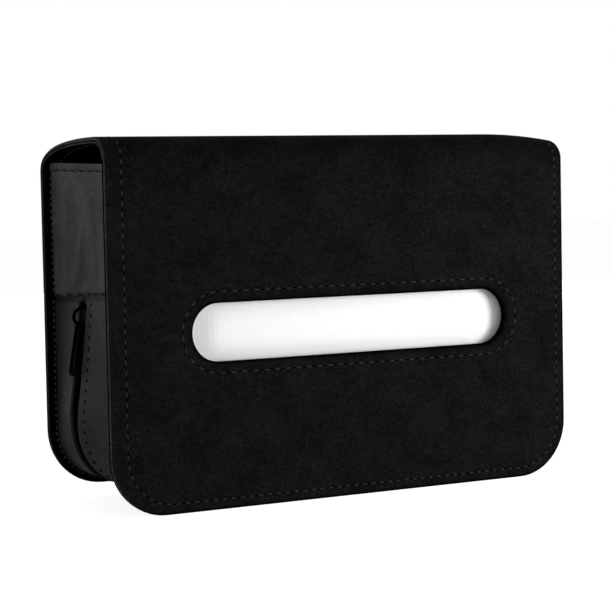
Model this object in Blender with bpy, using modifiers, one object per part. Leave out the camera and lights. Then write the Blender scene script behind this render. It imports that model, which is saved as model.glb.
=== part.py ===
"""Car tissue holder: a stiff wrap of back, lid and front flap round a zipped soft case.

Metres, +Z up. The flap faces -Y, and the flap's hem stands at z = 0 in the middle of the depth.
"""

import math

import bmesh
import bpy
from mathutils import Matrix, Vector, geometry

# Overall sizes of the wrap.
HOLDER_WIDTH = 0.220
HOLDER_HEIGHT = 0.150
HOLDER_DEPTH = 0.064
CORNER_RADIUS = 0.024
BOX_LIFT = 0.006

# Layers of each stiff panel, from the outside in, and the gap kept between touching pieces.
LEATHER_THICKNESS = 0.0007
BOARD_THICKNESS = 0.0011
LINING_THICKNESS = 0.0004
LAYER_GAP = 0.0003
BOARD_INSET = 0.004
LINING_INSET = 0.0012
FLAP_CLEARANCE = 0.0004

# Lid: how far its fold at the back and the flap's fold lie below its top, and its side profile's handles.
BACK_FOLD_DROP = 0.0128
FLAP_FOLD_DROP = 0.0090
LID_BACK_HANDLE = 0.0080
LID_CREST_HANDLE = 0.0388
FRONT_BEND_DEPTH = 0.0100
FRONT_BEND_HANDLE_SHARE = 0.5523

# Tissue slot in the flap, and the wider one behind it in the front panel.
SLOT_LENGTH = 0.149
SLOT_HEIGHT = 0.0235
SLOT_CENTRE_HEIGHT = 0.0714
SLOT_OFFSET = 0.0014
PANEL_SLOT_MARGIN = 0.005

# Soft sides: how far they sit inside the panels' edges, their leather and their hem.
GUSSET_INSET = 0.003
GUSSET_THICKNESS = 0.0008
GUSSET_TOP_DROP = 0.0098
GUSSET_CORNER_WIDTH = 0.0048
SEAM_HEIGHT = 0.086
PANEL_EDGE_REVEAL = 0.0006

# Zip: where it runs in the depth, how far it is drawn in at the seam and bulges out below.
ZIP_SETBACK = 0.034
ZIP_WINDOW = 0.0060
ZIP_SEAM_DRAW = 0.0025
ZIP_SIDE_BULGE = 0.0022
ZIP_FLOOR_BULGE = 0.0015
ZIP_BEND_HEIGHT = 0.045
ZIP_TAPE_THICKNESS = 0.0004
ZIP_TAPE_WIDTH = 0.0062
ZIP_COIL_THICKNESS = 0.0011
ZIP_COIL_WIDTH = 0.0018
ZIP_HALF_GAP = 0.0005
STOP_LENGTH = 0.0018
STOP_THICKNESS = 0.0007

# Slider and its slotted pull.
SLIDER_LENGTH = 0.0092
SLIDER_SIDE_CLEARANCE = 0.0004
SLIDER_PLATE_THICKNESS = 0.0009
SLIDER_WEB_THICKNESS = 0.0004
SLIDER_WEB_LENGTH = 0.0046
CROWN_HEIGHT = 0.0034
CROWN_LENGTH = 0.0072
CROWN_BEND = 0.0014
CROWN_WIRE = 0.0011
CROWN_WIDTH = 0.0016
PULL_LENGTH = 0.0225
PULL_SIDE_CLEARANCE = 0.0004
PULL_THICKNESS = 0.0011
PULL_BAR_WIDTH = 0.0013

# Flap closure and the tissues.
MAGNET_RADIUS = 0.006
MAGNET_SIDE_OFFSET = 0.062
MAGNET_HEIGHT = 0.026
TISSUE_CORNER_REACH = 0.002
TISSUE_HEADROOM = 0.030
TISSUE_ZIP_CLEARANCE = 0.0045
TISSUE_STANDOFF = 0.0015
TISSUE_FOLD_STEP = 0.0009
TISSUE_FOLD_COUNT = 4

# How finely the round stretches are drawn.
CORNER_STEPS = 9
SLOT_END_STEPS = 16
LID_STEPS = 15
BEND_STEPS = 9
ROUND_STEPS = 20
CROWN_STEPS = 4
ZIP_RUN_STEPS = 6
GUSSET_ROWS = 4
GUSSET_CORNER_STEPS = 3

# Worked out from the sizes above.
HALF_WIDTH = HOLDER_WIDTH / 2
BACK_FOLD_HEIGHT = HOLDER_HEIGHT - BACK_FOLD_DROP
FLAP_FOLD_HEIGHT = HOLDER_HEIGHT - FLAP_FOLD_DROP
GUSSET_TOP_HEIGHT = HOLDER_HEIGHT - GUSSET_TOP_DROP
FRONT_FACE_Y = -HOLDER_DEPTH / 2
BACK_FACE_Y = HOLDER_DEPTH / 2
BOARD_SETBACK = LEATHER_THICKNESS + LAYER_GAP
LINING_SETBACK = BOARD_SETBACK + BOARD_THICKNESS + LAYER_GAP
PANEL_THICKNESS = LINING_SETBACK + LINING_THICKNESS
PANEL_FACE_Y = FRONT_FACE_Y + PANEL_THICKNESS + FLAP_CLEARANCE
GUSSET_FRONT_Y = PANEL_FACE_Y + PANEL_THICKNESS + LAYER_GAP
GUSSET_BACK_Y = BACK_FACE_Y - PANEL_THICKNESS - LAYER_GAP
GUSSET_HALF_WIDTH = HALF_WIDTH - GUSSET_INSET
GUSSET_FLOOR_HEIGHT = BOX_LIFT + GUSSET_INSET
GUSSET_RADIUS = CORNER_RADIUS - GUSSET_INSET
GUSSET_CORNER_HEIGHT = GUSSET_FLOOR_HEIGHT + GUSSET_RADIUS
ZIP_Y = FRONT_FACE_Y + ZIP_SETBACK
TAPE_SETBACK = GUSSET_THICKNESS + LAYER_GAP
COIL_SETBACK = TAPE_SETBACK + ZIP_TAPE_THICKNESS + LAYER_GAP
HALF_GAP = LAYER_GAP / 2
PANEL_LAYERS = (
    ("leather", 0, LEATHER_THICKNESS, 0),
    ("board", BOARD_SETBACK, BOARD_THICKNESS, BOARD_INSET),
    ("lining", LINING_SETBACK, LINING_THICKNESS, LINING_INSET),
)
SLIDER_WIDTH = ZIP_WINDOW - SLIDER_SIDE_CLEARANCE * 2
PULL_WIDTH = CROWN_WIDTH + (PULL_SIDE_CLEARANCE + PULL_BAR_WIDTH) * 2
SLIDER_FACE = TAPE_SETBACK - LAYER_GAP - SLIDER_PLATE_THICKNESS
SLIDER_TILT = math.atan2(ZIP_SEAM_DRAW + ZIP_SIDE_BULGE, SEAM_HEIGHT - ZIP_BEND_HEIGHT)

LEATHER_BLACK = (0.010, 0.010, 0.011, 1.0)
SIDE_BLACK = (0.022, 0.022, 0.023, 1.0)
LINING_BLACK = (0.006, 0.006, 0.007, 1.0)
BOARD_GREY = (0.21, 0.20, 0.18, 1.0)
ZIP_BLACK = (0.007, 0.007, 0.008, 1.0)
METAL_BLACK = (0.012, 0.012, 0.013, 1.0)
MAGNET_GREY = (0.42, 0.42, 0.43, 1.0)
PAPER_WHITE = (0.86, 0.86, 0.86, 1.0)


def clear_scene():
    """Remove every object that the file opened with."""
    for item in list(bpy.data.objects):
        bpy.data.objects.remove(item, do_unlink=True)


def make_collection(name):
    """A collection for this object's pieces."""
    collection = bpy.data.collections.new(name)
    bpy.context.scene.collection.children.link(collection)
    return collection


def make_material(name, colour, roughness, metallic=0.0):
    """A Principled material with one colour."""
    material = bpy.data.materials.new(name)
    material.use_nodes = True
    shader = material.node_tree.nodes["Principled BSDF"]
    shader.inputs["Base Color"].default_value = colour
    shader.inputs["Roughness"].default_value = roughness
    shader.inputs["Metallic"].default_value = metallic
    return material


def add_object(name, data, material, collection):
    """Put a mesh or curve in the collection with its own copy of a material."""
    piece = bpy.data.objects.new(name, data)
    own_material = material.copy()
    own_material.name = name + "_finish"
    data.materials.append(own_material)
    collection.objects.link(piece)
    return piece


def mesh_from(bm, name):
    """Close a bmesh into a mesh with its faces outwards."""
    bmesh.ops.recalc_face_normals(bm, faces=bm.faces)
    mesh = bpy.data.meshes.new(name)
    bm.to_mesh(mesh)
    bm.free()
    return mesh


def bridge_rings(bm, rings):
    """Join each ring of points to the next, and cap both ends."""
    for ring, following in zip(rings, rings[1:]):
        for index in range(len(ring)):
            after = (index + 1) % len(ring)
            bm.faces.new((ring[index], ring[after], following[after], following[index]))
    bm.faces.new(rings[0])
    bm.faces.new(rings[-1])


def arc(centre, radius, start_degrees, end_degrees, steps):
    """Points round a centre, both ends included."""
    points = []
    for step in range(steps + 1):
        angle = math.radians(start_degrees + (end_degrees - start_degrees) * step / steps)
        points.append((centre[0] + radius * math.cos(angle), centre[1] + radius * math.sin(angle)))
    return points


def panel_outline(half_width, bottom, top, radius):
    """A panel seen from the front: square at the top, with two round bottom corners."""
    points = [(half_width, top), (-half_width, top)]
    points += arc((-half_width + radius, bottom + radius), radius, 180, 270, CORNER_STEPS)
    points += arc((half_width - radius, bottom + radius), radius, 270, 360, CORNER_STEPS)
    return points


def slot_outline(margin):
    """The tissue slot with its two round ends, wider all round by a margin."""
    radius = SLOT_HEIGHT / 2 + margin
    reach = (SLOT_LENGTH - SLOT_HEIGHT) / 2
    points = arc((SLOT_OFFSET + reach, SLOT_CENTRE_HEIGHT), radius, -90, 90, SLOT_END_STEPS)
    points += arc((SLOT_OFFSET - reach, SLOT_CENTRE_HEIGHT), radius, 90, 270, SLOT_END_STEPS)
    return points


def circle_outline(centre, radius):
    """A round hole or disc."""
    return arc(centre, radius, 0, 360, ROUND_STEPS)[:-1]


def flat_curve(name, outlines, thickness):
    """A flat sheet: the first outline is its edge, and the others are holes in it."""
    curve = bpy.data.curves.new(name, "CURVE")
    curve.dimensions = "2D"
    curve.fill_mode = "BOTH"
    curve.extrude = thickness / 2
    for outline in outlines:
        spline = curve.splines.new("POLY")
        spline.points.add(len(outline) - 1)
        for point, (across, up) in zip(spline.points, outline):
            point.co = (across, up, 0, 1)
        spline.use_cyclic_u = True
    return curve


def flat_panel(name, outlines, front_y, thickness, material, collection):
    """A flat sheet that stands in the XZ plane, with its front face at a depth."""
    panel = add_object(name, flat_curve(name, outlines, thickness), material, collection)
    panel.rotation_euler = (math.radians(90), 0, 0)
    panel.location = (0, front_y + thickness / 2, 0)
    return panel


def add_pivot(name, location, collection):
    """An empty on a fold's axis, for the pieces that turn about it."""
    pivot = bpy.data.objects.new(name, None)
    pivot.location = location
    collection.objects.link(pivot)
    return pivot


def hang_on(piece, pivot, pivot_place):
    """Parent a piece to a pivot without moving it."""
    piece.parent = pivot
    piece.matrix_parent_inverse = Matrix.Translation(pivot_place).inverted()


def lid_profile():
    """Side view of the lid's outer face as (y, z), from the back fold over the crest to the flap's fold."""
    crest_y = FRONT_FACE_Y + FRONT_BEND_DEPTH
    bend_rise = HOLDER_HEIGHT - FLAP_FOLD_HEIGHT
    start = Vector((BACK_FACE_Y, BACK_FOLD_HEIGHT + HALF_GAP, 0))
    crest = Vector((crest_y, HOLDER_HEIGHT, 0))
    end = Vector((FRONT_FACE_Y, FLAP_FOLD_HEIGHT + HALF_GAP, 0))
    rise = geometry.interpolate_bezier(
        start,
        start + Vector((0, LID_BACK_HANDLE, 0)),
        crest + Vector((LID_CREST_HANDLE, 0, 0)),
        crest,
        LID_STEPS,
    )
    bend = geometry.interpolate_bezier(
        crest,
        crest - Vector((FRONT_BEND_DEPTH * FRONT_BEND_HANDLE_SHARE, 0, 0)),
        end + Vector((0, bend_rise * FRONT_BEND_HANDLE_SHARE, 0)),
        end,
        BEND_STEPS,
    )
    return rise + bend[1:]


def inset_profile(profile, distance):
    """Move an open profile inwards by a distance, square to its own run at each point."""
    moved = []
    for index, point in enumerate(profile):
        before = profile[max(index - 1, 0)]
        after = profile[min(index + 1, len(profile) - 1)]
        run = (after - before).normalized()
        inwards = Vector((-run.y, run.x, 0))
        if index == 0:
            inwards = Vector((-1, 0, 0))
        if index == len(profile) - 1:
            inwards = Vector((1, 0, 0))
        moved.append(point + inwards * distance)
    return moved


def lid_layer(name, setback, thickness, side_inset, material, collection):
    """One layer of the lid: the band between two insets of the side profile, drawn across the width."""
    profile = lid_profile()
    outer = inset_profile(profile, setback)
    inner = inset_profile(profile, setback + thickness)
    bm = bmesh.new()
    reach = HALF_WIDTH - side_inset
    corners = [bm.verts.new((-reach, point.x, point.y)) for point in outer + inner[::-1]]
    section = bm.faces.new(corners)
    swept = bmesh.ops.extrude_face_region(bm, geom=[section])
    moved = [item for item in swept["geom"] if isinstance(item, bmesh.types.BMVert)]
    bmesh.ops.translate(bm, verts=moved, vec=(reach * 2, 0, 0))
    return add_object(name, mesh_from(bm, name), material, collection)


def make_wrap(leather, board, lining, collection):
    """Back panel, lid and flap, each of leather, board and lining; the lid and the flap hang on their folds."""
    back_top = BACK_FOLD_HEIGHT - HALF_GAP
    flap_top = FLAP_FOLD_HEIGHT - HALF_GAP
    lid_place = Vector((0, BACK_FACE_Y, BACK_FOLD_HEIGHT))
    flap_place = Vector((0, FRONT_FACE_Y, FLAP_FOLD_HEIGHT))
    lid_pivot = add_pivot("lid_fold", lid_place, collection)
    flap_pivot = add_pivot("flap_fold", flap_place, collection)
    hang_on(flap_pivot, lid_pivot, lid_place)
    for layer, setback, thickness, inset in PANEL_LAYERS:
        material = {"leather": leather, "board": board, "lining": lining}[layer]
        half_width = HALF_WIDTH - inset
        radius = CORNER_RADIUS - inset
        back = [panel_outline(half_width, BOX_LIFT + inset, back_top, radius)]
        flat_panel("back_" + layer, back, BACK_FACE_Y - setback - thickness, thickness, material, collection)
        lid = lid_layer("lid_" + layer, setback, thickness, inset, material, collection)
        hang_on(lid, lid_pivot, lid_place)
        outlines = [panel_outline(half_width, inset, flap_top, radius), slot_outline(inset)]
        if layer == "board":
            outlines += magnet_outlines(MAGNET_RADIUS + LAYER_GAP)
        flap = flat_panel("flap_" + layer, outlines, FRONT_FACE_Y + setback, thickness, material, collection)
        hang_on(flap, flap_pivot, flap_place)
    return flap_pivot, flap_place


def magnet_outlines(radius):
    """The left and right discs low on the flap and on the front panel behind it."""
    return [circle_outline((side * MAGNET_SIDE_OFFSET, MAGNET_HEIGHT), radius) for side in (-1, 1)]


def make_front_panel(leather, board, lining, collection):
    """The case's own front, behind the flap, with a slot a little wider than the flap's."""
    edge = GUSSET_HALF_WIDTH + PANEL_EDGE_REVEAL
    for layer, setback, thickness, inset in PANEL_LAYERS:
        material = {"leather": leather, "board": board, "lining": lining}[layer]
        outlines = [
            panel_outline(edge - inset, BOX_LIFT + inset, GUSSET_TOP_HEIGHT - inset, CORNER_RADIUS - inset),
            slot_outline(PANEL_SLOT_MARGIN + inset),
        ]
        if layer == "board":
            outlines += magnet_outlines(MAGNET_RADIUS + LAYER_GAP)
        flat_panel("front_panel_" + layer, outlines, PANEL_FACE_Y + setback, thickness, material, collection)


def make_magnets(metal, flap_pivot, flap_place, collection):
    """Thin discs in the boards' pockets, which hold the flap to the front panel."""
    for side, disc in zip(("left", "right"), magnet_outlines(MAGNET_RADIUS)):
        flap_y = FRONT_FACE_Y + BOARD_SETBACK
        panel_y = PANEL_FACE_Y + BOARD_SETBACK
        on_flap = flat_panel("flap_magnet_" + side, [disc], flap_y, BOARD_THICKNESS, metal, collection)
        hang_on(on_flap, flap_pivot, flap_place)
        flat_panel("front_panel_magnet_" + side, [disc], panel_y, BOARD_THICKNESS, metal, collection)


def zip_bulge(height, on_floor_share):
    """How far the zip stands out of the flat gusset, at a height on its side run or a share of its corner."""
    if height >= ZIP_BEND_HEIGHT:
        drop_share = (SEAM_HEIGHT - height) / (SEAM_HEIGHT - ZIP_BEND_HEIGHT)
        return (ZIP_SEAM_DRAW + ZIP_SIDE_BULGE) * drop_share - ZIP_SEAM_DRAW
    return ZIP_SIDE_BULGE + (ZIP_FLOOR_BULGE - ZIP_SIDE_BULGE) * on_floor_share


def gusset_path():
    """The zip gusset's line seen from the front, left seam to right seam.

    Each entry is a point, its outward direction, and the zip's own bulge there.
    """
    left = []
    run = SEAM_HEIGHT - ZIP_BEND_HEIGHT
    side_heights = [SEAM_HEIGHT - run * step / ZIP_RUN_STEPS for step in range(ZIP_RUN_STEPS + 1)]
    for height in side_heights + [GUSSET_CORNER_HEIGHT]:
        point = Vector((-GUSSET_HALF_WIDTH, height))
        left.append((point, Vector((-1, 0)), zip_bulge(height, 0)))
    centre = Vector((-GUSSET_HALF_WIDTH + GUSSET_RADIUS, GUSSET_CORNER_HEIGHT))
    for step in range(1, CORNER_STEPS + 1):
        angle = math.radians(180 + 90 * step / CORNER_STEPS)
        outwards = Vector((math.cos(angle), math.sin(angle)))
        left.append((centre + outwards * GUSSET_RADIUS, outwards, zip_bulge(0, step / CORNER_STEPS)))
    right = []
    for point, outwards, bulge in reversed(left):
        right.append((Vector((-point.x, point.y)), Vector((-outwards.x, outwards.y)), bulge))
    return left + right


def bulge_share(y):
    """Share of the zip's bulge at a depth: whole over the zip, none at the gusset's two edges."""
    half_window = ZIP_WINDOW / 2
    away = abs(y - ZIP_Y) - half_window
    if away <= 0:
        return 1
    edge = GUSSET_FRONT_Y if y < ZIP_Y else GUSSET_BACK_Y
    return max(0, 1 - away / (abs(edge - ZIP_Y) - half_window))


def gusset_band(name, depths, setback, thickness, material, collection):
    """A band of the zip gusset between depths, following its U line, as a closed sheet of even thickness."""
    path = gusset_path()
    bm = bmesh.new()
    rings = []
    for point, outwards, bulge in path:
        ring = []
        for y in depths:
            place = point + outwards * (bulge * bulge_share(y) - setback)
            ring.append(bm.verts.new((place.x, y, place.y)))
        for y in reversed(depths):
            place = point + outwards * (bulge * bulge_share(y) - setback - thickness)
            ring.append(bm.verts.new((place.x, y, place.y)))
        rings.append(ring)
    bridge_rings(bm, rings)
    return add_object(name, mesh_from(bm, name), material, collection)


def make_zip_gusset(side_leather, tape, coil, collection):
    """Two leather strips, two tapes and two coils, front and rear of the zip's line."""
    half_window = ZIP_WINDOW / 2
    tape_reach = ZIP_HALF_GAP + ZIP_TAPE_WIDTH
    coil_reach = ZIP_HALF_GAP + ZIP_COIL_WIDTH
    sides = (("front", -1, GUSSET_FRONT_Y), ("rear", 1, GUSSET_BACK_Y))
    for side, sign, edge in sides:
        strip_depths = (ZIP_Y + sign * half_window, ZIP_Y + sign * tape_reach, edge)
        tape_depths = tuple(ZIP_Y + sign * reach for reach in (ZIP_HALF_GAP, half_window, tape_reach))
        coil_depths = tuple(ZIP_Y + sign * reach for reach in (ZIP_HALF_GAP, coil_reach))
        gusset_band("zip_strip_" + side, strip_depths, 0, GUSSET_THICKNESS, side_leather, collection)
        gusset_band("zip_tape_" + side, tape_depths, TAPE_SETBACK, ZIP_TAPE_THICKNESS, tape, collection)
        gusset_band("zip_coil_" + side, coil_depths, COIL_SETBACK, ZIP_COIL_THICKNESS, coil, collection)


def lid_underside(y):
    """Height of the lowest point that a soft side must stay under, at a depth near the back."""
    under = inset_profile(lid_profile(), PANEL_THICKNESS + LAYER_GAP)
    for near, far in zip(under, under[1:]):
        if far.x <= y <= near.x:
            return near.y + (far.y - near.y) * (near.x - y) / (near.x - far.x)
    return under[0].y


def upper_gusset(name, side, material, collection):
    """One soft side above the cross seam, drawn in over the zip and cut back under the lid's rear bend."""
    half_window = ZIP_WINDOW / 2
    depths = [GUSSET_FRONT_Y, ZIP_Y - half_window, ZIP_Y + half_window]
    for step in range(GUSSET_CORNER_STEPS + 1):
        depths.append(GUSSET_BACK_Y - GUSSET_CORNER_WIDTH * (1 - step / GUSSET_CORNER_STEPS))
    seam = SEAM_HEIGHT + LAYER_GAP
    bm = bmesh.new()
    grid = []
    for row in range(GUSSET_ROWS + 1):
        share = row / GUSSET_ROWS
        line = []
        for y in depths:
            top = GUSSET_TOP_HEIGHT if y <= depths[2] else min(GUSSET_TOP_HEIGHT, lid_underside(y))
            height = seam + (top - seam) * share
            draw = ZIP_SEAM_DRAW * bulge_share(y) * (1 - share) ** 2
            line.append(bm.verts.new((side * (GUSSET_HALF_WIDTH - draw), y, height)))
        grid.append(line)
    for lower, upper in zip(grid, grid[1:]):
        for index in range(len(depths) - 1):
            corners = (lower[index], lower[index + 1], upper[index + 1], upper[index])
            bm.faces.new(corners if side > 0 else corners[::-1])
    mesh = bpy.data.meshes.new(name)
    bm.to_mesh(mesh)
    bm.free()
    gusset = add_object(name, mesh, material, collection)
    shell = gusset.modifiers.new("leather", "SOLIDIFY")
    shell.thickness = GUSSET_THICKNESS
    shell.offset = -1
    shell.use_even_offset = True
    return gusset


def add_box(bm, centre, size):
    """Add one box, by its centre and its three sizes."""
    made = bmesh.ops.create_cube(bm, size=1)
    bmesh.ops.scale(bm, vec=size, verts=made["verts"])
    bmesh.ops.translate(bm, vec=centre, verts=made["verts"])


def make_stops(metal, collection):
    """A clip across the zip at its left end, and one at its right end."""
    for name, side in (("zip_top_stop", -1), ("zip_bottom_stop", 1)):
        height = SEAM_HEIGHT - STOP_LENGTH
        face = GUSSET_HALF_WIDTH + zip_bulge(height, 0) - TAPE_SETBACK + LAYER_GAP
        bm = bmesh.new()
        add_box(bm, (0, 0, 0), (STOP_THICKNESS, ZIP_WINDOW - LAYER_GAP * 2, STOP_LENGTH))
        bmesh.ops.bevel(
            bm,
            geom=list(bm.edges),
            offset=STOP_THICKNESS / 4,
            segments=1,
            profile=0.5,
            affect="EDGES",
        )
        stop = add_object(name, mesh_from(bm, name), metal, collection)
        stop.location = (side * (face + STOP_THICKNESS / 2), ZIP_Y, height)
        stop.rotation_euler = (0, -side * SLIDER_TILT, 0)


def slider_frame(height):
    """A place on the zip's left run: local -X points out of the case, and local Z runs up the zip."""
    out_x = -GUSSET_HALF_WIDTH - zip_bulge(height, 0)
    return Matrix.Translation((out_x, ZIP_Y, height)) @ Matrix.Rotation(SLIDER_TILT, 4, "Y")


def crown_path():
    """The crown's wire as (across, along) points: a low bridge from the outer plate and back to it."""
    half = CROWN_LENGTH / 2
    top = SLIDER_FACE - CROWN_HEIGHT + CROWN_WIRE / 2
    centre = (top + CROWN_BEND, CROWN_BEND - half)
    path = [(SLIDER_FACE + SLIDER_PLATE_THICKNESS / 2, -half)]
    path += arc(centre, CROWN_BEND, 270, 180, CROWN_STEPS)
    return path + [(across, -along) for across, along in reversed(path)]


def crown_mesh():
    """The crown: a flat strip swept along its path."""
    path = crown_path()
    half_width = CROWN_WIDTH / 2
    bm = bmesh.new()
    rings = []
    for index, (across, along) in enumerate(path):
        before = path[max(index - 1, 0)]
        after = path[min(index + 1, len(path) - 1)]
        run = Vector((after[0] - before[0], after[1] - before[1])).normalized()
        square = Vector((-run.y, run.x)) * (CROWN_WIRE / 2)
        ring = []
        for side, way in ((-1, -1), (1, -1), (1, 1), (-1, 1)):
            ring.append(bm.verts.new((across + square.x * way, half_width * side, along + square.y * way)))
        rings.append(ring)
    bridge_rings(bm, rings)
    return mesh_from(bm, "crown")


def slider_plate(across):
    """One of the slider's two plates, with round corners, at a depth through the zip."""
    bm = bmesh.new()
    add_box(bm, (across, 0, 0), (SLIDER_PLATE_THICKNESS, SLIDER_WIDTH, SLIDER_LENGTH))
    corners = [edge for edge in bm.edges if edge.verts[0].co.x != edge.verts[1].co.x]
    bmesh.ops.bevel(bm, geom=corners, offset=SLIDER_WIDTH / 4, segments=3, profile=0.5, affect="EDGES")
    return mesh_from(bm, "slider_plate")


def make_slider(metal, collection):
    """Two plates joined by a web that runs between the coils, with a crown for the pull."""
    outer = SLIDER_FACE + SLIDER_PLATE_THICKNESS / 2
    inner = COIL_SETBACK + ZIP_COIL_THICKNESS + LAYER_GAP + SLIDER_PLATE_THICKNESS / 2
    web_rise = (SLIDER_LENGTH - SLIDER_WEB_LENGTH) / 2 - SLIDER_PLATE_THICKNESS
    bm = bmesh.new()
    add_box(bm, ((outer + inner) / 2, 0, web_rise), (inner - outer, SLIDER_WEB_THICKNESS, SLIDER_WEB_LENGTH))
    web = mesh_from(bm, "slider_web")
    return join_solids("zip_slider", [web, slider_plate(outer), slider_plate(inner), crown_mesh()], metal, collection)


def join_solids(name, meshes, material, collection):
    """Union closed meshes into one body, as a named piece."""
    base = add_object(name, meshes[0], material, collection)
    helpers = make_collection("cutters")
    for index, mesh in enumerate(meshes[1:]):
        other = bpy.data.objects.new(name + "_add_" + str(index), mesh)
        helpers.objects.link(other)
        other.parent = base
        other.hide_render = True
        other.display_type = "WIRE"
        union = base.modifiers.new("union_" + str(index), "BOOLEAN")
        union.operation = "UNION"
        union.solver = "EXACT"
        union.object = other
    return base


def make_pull(metal, collection):
    """A long slotted pull: its top bar is at the origin, inside the crown, and it hangs along local -Y."""
    half_width = PULL_WIDTH / 2
    half_bar = PULL_BAR_WIDTH / 2
    opening = half_width - PULL_BAR_WIDTH
    end = (0, half_bar - PULL_LENGTH + half_width)
    outline = [(half_width, half_bar), (-half_width, half_bar)]
    outline += arc(end, half_width, 180, 360, ROUND_STEPS // 2)
    slot = [(opening, -half_bar), (-opening, -half_bar)]
    slot += arc(end, opening, 180, 360, ROUND_STEPS // 2)
    return add_object("zip_pull", flat_curve("zip_pull", [outline, slot], PULL_THICKNESS), metal, collection)


def make_slider_and_pull(metal, collection):
    """The slider at the top of the left run, with the pull lying down the zip from its crown."""
    height = SEAM_HEIGHT - STOP_LENGTH * 2 - SLIDER_LENGTH / 2
    place = slider_frame(height)
    slider = make_slider(metal, collection)
    slider.matrix_world = place
    bar_reach = math.hypot(PULL_BAR_WIDTH, PULL_THICKNESS) / 2
    pivot_across = SLIDER_FACE - (CROWN_HEIGHT - CROWN_WIRE) / 2
    pivot_along = (CROWN_WIRE - CROWN_LENGTH) / 2 + bar_reach + LAYER_GAP
    pull = make_pull(metal, collection)
    turn = Matrix.Rotation(math.radians(90), 4, "Z") @ Matrix.Rotation(math.radians(90), 4, "X")
    pull.matrix_world = place @ Matrix.Translation((pivot_across, 0, pivot_along)) @ turn


def make_tissues(paper, collection):
    """A part-used stack of folded tissues that stands behind the slot, with its folds along the top."""
    front_y = PANEL_FACE_Y + PANEL_THICKNESS + TISSUE_STANDOFF
    back_y = ZIP_Y - TISSUE_ZIP_CLEARANCE
    floor = GUSSET_FLOOR_HEIGHT + GUSSET_THICKNESS + LAYER_GAP
    top = GUSSET_TOP_HEIGHT - TISSUE_HEADROOM
    half_width = GUSSET_HALF_WIDTH - GUSSET_RADIUS + TISSUE_CORNER_REACH
    fold = (back_y - front_y) / TISSUE_FOLD_COUNT
    section = []
    for index in range(TISSUE_FOLD_COUNT):
        section.append((front_y + fold * index, top - TISSUE_FOLD_STEP))
        section.append((front_y + fold * (index + 1 / 2), top))
    section += [(back_y, top - TISSUE_FOLD_STEP), (back_y, floor), (front_y, floor)]
    bm = bmesh.new()
    face = bm.faces.new([bm.verts.new((-half_width, y, z)) for y, z in section])
    swept = bmesh.ops.extrude_face_region(bm, geom=[face])
    moved = [item for item in swept["geom"] if isinstance(item, bmesh.types.BMVert)]
    bmesh.ops.translate(bm, verts=moved, vec=(half_width * 2, 0, 0))
    return add_object("tissue_stack", mesh_from(bm, "tissue_stack"), paper, collection)


def build():
    """Make every piece of the holder."""
    clear_scene()
    collection = make_collection("car_tissue_holder")
    leather = make_material("wrap_leather", LEATHER_BLACK, 0.62)
    side_leather = make_material("side_leather", SIDE_BLACK, 0.5)
    board = make_material("board", BOARD_GREY, 0.9)
    lining = make_material("lining", LINING_BLACK, 0.85)
    tape = make_material("zip_tape", ZIP_BLACK, 0.8)
    coil = make_material("zip_coil", ZIP_BLACK, 0.4)
    metal = make_material("zip_metal", METAL_BLACK, 0.3, 0.9)
    magnet = make_material("magnet", MAGNET_GREY, 0.35, 1.0)
    paper = make_material("paper", PAPER_WHITE, 0.9)
    flap_pivot, flap_place = make_wrap(leather, board, lining, collection)
    make_front_panel(leather, board, lining, collection)
    make_magnets(magnet, flap_pivot, flap_place, collection)
    for name, side in (("upper_gusset_left", -1), ("upper_gusset_right", 1)):
        upper_gusset(name, side, side_leather, collection)
    make_zip_gusset(side_leather, tape, coil, collection)
    make_stops(metal, collection)
    make_slider_and_pull(metal, collection)
    make_tissues(paper, collection)


build()
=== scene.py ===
"""Looks of the car tissue holder: a wrap of stiff black leather round a zipped soft case.

Everything is in metres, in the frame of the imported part. Sheets are first made flat, as they are cut,
with x across, y along the sheet and z out of its face, and are then bent to shape.
"""

import math
import random

import bmesh
import bpy
import numpy as np
from mathutils import Matrix, Vector, geometry, noise


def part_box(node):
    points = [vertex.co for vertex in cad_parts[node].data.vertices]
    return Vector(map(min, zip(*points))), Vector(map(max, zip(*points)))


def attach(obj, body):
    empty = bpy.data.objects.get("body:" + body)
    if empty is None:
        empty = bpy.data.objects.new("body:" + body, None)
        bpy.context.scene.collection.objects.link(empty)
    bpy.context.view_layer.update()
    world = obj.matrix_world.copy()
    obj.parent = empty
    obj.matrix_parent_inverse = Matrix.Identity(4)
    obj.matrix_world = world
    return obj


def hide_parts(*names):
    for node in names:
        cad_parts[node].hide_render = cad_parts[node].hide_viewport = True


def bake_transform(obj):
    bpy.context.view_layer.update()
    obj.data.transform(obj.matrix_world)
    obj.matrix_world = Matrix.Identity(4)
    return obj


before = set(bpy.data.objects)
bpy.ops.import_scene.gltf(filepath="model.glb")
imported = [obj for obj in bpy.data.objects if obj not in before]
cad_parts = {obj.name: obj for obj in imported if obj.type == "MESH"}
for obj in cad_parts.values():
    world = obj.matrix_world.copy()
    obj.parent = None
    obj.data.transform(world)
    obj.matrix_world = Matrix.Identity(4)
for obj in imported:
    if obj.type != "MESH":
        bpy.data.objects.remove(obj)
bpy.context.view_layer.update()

MM = 0.001

# The wrap, as in the part: overall sizes, folds and the side profile's handles.
HALF_WIDTH = 110 * MM
FRONT_Y = -32 * MM
BACK_Y = 32 * MM
TOP_Z = 150 * MM
BACK_FOLD_Z = 137.2 * MM
FLAP_FOLD_Z = 141 * MM
BOX_LIFT = 6 * MM
CORNER_RADIUS = 24 * MM
CREST_Y = -22 * MM
BEND_POINTS = 30
RISE_POINTS = 70
PANEL_THICKNESS = 2.8 * MM
COVER_THICKNESS = 1.6 * MM
RIM_SHOWN = 0.75 * MM
FACING_GAP = 0.3 * MM
FACING_THICKNESS = 0.6 * MM
LINING_THICKNESS = 0.2 * MM

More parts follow.
